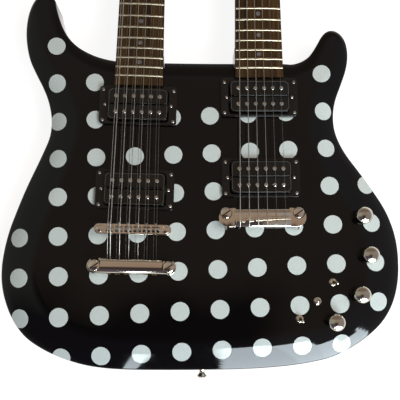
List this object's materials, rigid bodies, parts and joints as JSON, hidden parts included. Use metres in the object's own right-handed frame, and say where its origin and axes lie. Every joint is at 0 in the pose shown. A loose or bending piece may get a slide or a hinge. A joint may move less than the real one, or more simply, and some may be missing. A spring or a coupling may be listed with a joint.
{
  "type": "double-neck guitar",
  "caption": "Solid-body electric guitar with a twelve-string neck and a six-string neck on one carved, dotted body, with turning tuners, knobs and flipping switches.",
  "frame": {"origin": "on the flat back of the body, midway between the two bridges, level with the break of the twelve strings", "axes": "+Y up the necks to the headstocks, +Z out of the face, +X to the treble side"},
  "size_m": [0.4638, 0.9942, 0.0654],
  "materials": {
    "body_lacquer": "high-gloss black lacquer with pale grey dots",
    "neck_lacquer": "gloss black lacquer",
    "rosewood": "oiled, open grain",
    "string_steel": "plain and wound strings",
    "ring_plastic": "gloss black",
    "pickup_plastic": "gloss black",
    "cover_plastic": "satin black",
    "zinc_case": "plain",
    "tuner_metal": "polished",
    "knob_metal": "polished",
    "switch_metal": "polished",
    "fixing_metal": "polished",
    "hardware_chrome": "polished"
  },
  "bodies": {
    "guitar": {"bridge_6": "hardware_chrome", "bridge_12": "hardware_chrome", "bridge_stud_1": "hardware_chrome", "bridge_stud_2": "hardware_chrome", "control_cover": "cover_plastic", "fretboard_6": "rosewood", "fretboard_12": "rosewood", "guitar_body": "body_lacquer", "neck_6": "neck_lacquer", "neck_12": "neck_lacquer", "output_jack": "fixing_metal", "pickup_6_bridge": "pickup_plastic", "pickup_6_neck": "pickup_plastic", "pickup_12_bridge": "pickup_plastic", "pickup_12_neck": "pickup_plastic", "pickup_ring_6_bridge": "ring_plastic", "pickup_ring_6_neck": "ring_plastic", "pickup_ring_12_bridge": "ring_plastic", "pickup_ring_12_neck": "ring_plastic", "potentiometer_1": "zinc_case", "potentiometer_2": "zinc_case", "potentiometer_3": "zinc_case", "potentiometer_4": "zinc_case", "strap_button_1": "fixing_metal", "strap_button_2": "fixing_metal", "strings_6": "string_steel", "strings_12": "string_steel", "tailpiece_12": "hardware_chrome", "tailpiece_stud_1": "hardware_chrome", "tailpiece_stud_2": "hardware_chrome", "toggle_switch_1": "switch_metal", "toggle_switch_2": "switch_metal", "toggle_switch_3": "switch_metal", "truss_rod_cover_6": "cover_plastic", "truss_rod_cover_12": "cover_plastic"},
    "control_knob_1": {"control_knob_1": "knob_metal"},
    "control_knob_2": {"control_knob_2": "knob_metal"},
    "control_knob_3": {"control_knob_3": "knob_metal"},
    "control_knob_4": {"control_knob_4": "knob_metal"},
    "toggle_lever_1": {"toggle_lever_1": "switch_metal"},
    "toggle_lever_2": {"toggle_lever_2": "switch_metal"},
    "toggle_lever_3": {"toggle_lever_3": "switch_metal"},
    "tuner_button_6_1": {"tuner_button_6_1": "tuner_metal"},
    "tuner_button_6_2": {"tuner_button_6_2": "tuner_metal"},
    "tuner_button_6_3": {"tuner_button_6_3": "tuner_metal"},
    "tuner_button_6_4": {"tuner_button_6_4": "tuner_metal"},
    "tuner_button_6_5": {"tuner_button_6_5": "tuner_metal"},
    "tuner_button_6_6": {"tuner_button_6_6": "tuner_metal"},
    "tuner_button_12_1": {"tuner_button_12_1": "tuner_metal"},
    "tuner_button_12_2": {"tuner_button_12_2": "tuner_metal"},
    "tuner_button_12_3": {"tuner_button_12_3": "tuner_metal"},
    "tuner_button_12_4": {"tuner_button_12_4": "tuner_metal"},
    "tuner_button_12_5": {"tuner_button_12_5": "tuner_metal"},
    "tuner_button_12_6": {"tuner_button_12_6": "tuner_metal"},
    "tuner_button_12_7": {"tuner_button_12_7": "tuner_metal"},
    "tuner_button_12_8": {"tuner_button_12_8": "tuner_metal"},
    "tuner_button_12_9": {"tuner_button_12_9": "tuner_metal"},
    "tuner_button_12_10": {"tuner_button_12_10": "tuner_metal"},
    "tuner_button_12_11": {"tuner_button_12_11": "tuner_metal"},
    "tuner_button_12_12": {"tuner_button_12_12": "tuner_metal"}
  },
  "joints": [
    {"name": "control_knob_1_turn", "type": "hinge", "parent": "guitar", "child": "control_knob_1", "pos_m": [0.18947, 0.01691, 0.0489], "axis": [0, 0, 1], "range_deg": [-135, 135]},
    {"name": "control_knob_2_turn", "type": "hinge", "parent": "guitar", "child": "control_knob_2", "pos_m": [0.19592, -0.02781, 0.0489], "axis": [0, 0, 1], "range_deg": [-135, 135]},
    {"name": "control_knob_3_turn", "type": "hinge", "parent": "guitar", "child": "control_knob_3", "pos_m": [0.18486, -0.07231, 0.0489], "axis": [0, 0, 1], "range_deg": [-135, 135]},
    {"name": "control_knob_4_turn", "type": "hinge", "parent": "guitar", "child": "control_knob_4", "pos_m": [0.15536, -0.10311, 0.0489], "axis": [0, 0, 1], "range_deg": [-135, 135]},
    {"name": "toggle_lever_1_flip", "type": "hinge", "parent": "guitar", "child": "toggle_lever_1", "pos_m": [0.15443, -0.0591, 0.0506], "axis": [-0.342, -0.9397, 0], "range_deg": [0, 26]},
    {"name": "toggle_lever_2_flip", "type": "hinge", "parent": "guitar", "child": "toggle_lever_2", "pos_m": [0.13646, -0.08028, 0.0506], "axis": [0.2079, 0.9781, 0], "range_deg": [0, 26]},
    {"name": "toggle_lever_3_flip", "type": "hinge", "parent": "guitar", "child": "toggle_lever_3", "pos_m": [0.11599, -0.10021, 0.0506], "axis": [-0.848, -0.5299, 0], "range_deg": [0, 26]},
    {"name": "tuner_button_6_1_turn", "type": "hinge", "parent": "guitar", "child": "tuner_button_6_1", "pos_m": [0.02956, 0.68024, 0.02614], "axis": [-0.9999, -0.0155, 0], "continuous": true},
    {"name": "tuner_button_6_2_turn", "type": "hinge", "parent": "guitar", "child": "tuner_button_6_2", "pos_m": [0.02898, 0.71791, 0.02118], "axis": [-0.9999, -0.0155, 0], "continuous": true},
    {"name": "tuner_button_6_3_turn", "type": "hinge", "parent": "guitar", "child": "tuner_button_6_3", "pos_m": [0.02839, 0.75558, 0.01622], "axis": [-0.9999, -0.0155, 0], "continuous": true},
    {"name": "tuner_button_6_4_turn", "type": "hinge", "parent": "guitar", "child": "tuner_button_6_4", "pos_m": [0.09616, 0.68127, 0.02614], "axis": [0.9999, 0.0155, 0], "continuous": true},
    {"name": "tuner_button_6_5_turn", "type": "hinge", "parent": "guitar", "child": "tuner_button_6_5", "pos_m": [0.09557, 0.71894, 0.02118], "axis": [0.9999, 0.0155, 0], "continuous": true},
    {"name": "tuner_button_6_6_turn", "type": "hinge", "parent": "guitar", "child": "tuner_button_6_6", "pos_m": [0.09498, 0.75661, 0.01622], "axis": [0.9999, 0.0155, 0], "continuous": true},
    {"name": "tuner_button_12_1_turn", "type": "hinge", "parent": "guitar", "child": "tuner_button_12_1", "pos_m": [-0.09619, 0.66739, 0.02641], "axis": [-0.9999, 0.0155, 0], "continuous": true},
    {"name": "tuner_button_12_2_turn", "type": "hinge", "parent": "guitar", "child": "tuner_button_12_2", "pos_m": [-0.09579, 0.69316, 0.02301], "axis": [-0.9999, 0.0155, 0], "continuous": true},
    {"name": "tuner_button_12_3_turn", "type": "hinge", "parent": "guitar", "child": "tuner_button_12_3", "pos_m": [-0.09539, 0.71894, 0.01962], "axis": [-0.9999, 0.0155, 0], "continuous": true},
    {"name": "tuner_button_12_4_turn", "type": "hinge", "parent": "guitar", "child": "tuner_button_12_4", "pos_m": [-0.09498, 0.74471, 0.01622], "axis": [-0.9999, 0.0155, 0], "continuous": true},
    {"name": "tuner_button_12_5_turn", "type": "hinge", "parent": "guitar", "child": "tuner_button_12_5", "pos_m": [-0.09459, 0.77048, 0.01283], "axis": [-0.9999, 0.0155, 0], "continuous": true},
    {"name": "tuner_button_12_6_turn", "type": "hinge", "parent": "guitar", "child": "tuner_button_12_6", "pos_m": [-0.09418, 0.79626, 0.00944], "axis": [-0.9999, 0.0155, 0], "continuous": true},
    {"name": "tuner_button_12_7_turn", "type": "hinge", "parent": "guitar", "child": "tuner_button_12_7", "pos_m": [-0.02959, 0.66635, 0.02641], "axis": [0.9999, -0.0155, 0], "continuous": true},
    {"name": "tuner_button_12_8_turn", "type": "hinge", "parent": "guitar", "child": "tuner_button_12_8", "pos_m": [-0.02919, 0.69213, 0.02301], "axis": [0.9999, -0.0155, 0], "continuous": true},
    {"name": "tuner_button_12_9_turn", "type": "hinge", "parent": "guitar", "child": "tuner_button_12_9", "pos_m": [-0.02879, 0.7179, 0.01962], "axis": [0.9999, -0.0155, 0], "continuous": true},
    {"name": "tuner_button_12_10_turn", "type": "hinge", "parent": "guitar", "child": "tuner_button_12_10", "pos_m": [-0.02839, 0.74368, 0.01622], "axis": [0.9999, -0.0155, 0], "continuous": true},
    {"name": "tuner_button_12_11_turn", "type": "hinge", "parent": "guitar", "child": "tuner_button_12_11", "pos_m": [-0.02799, 0.76945, 0.01283], "axis": [0.9999, -0.0155, 0], "continuous": true},
    {"name": "tuner_button_12_12_turn", "type": "hinge", "parent": "guitar", "child": "tuner_button_12_12", "pos_m": [-0.02759, 0.79522, 0.00944], "axis": [0.9999, -0.0155, 0], "continuous": true}
  ]
}
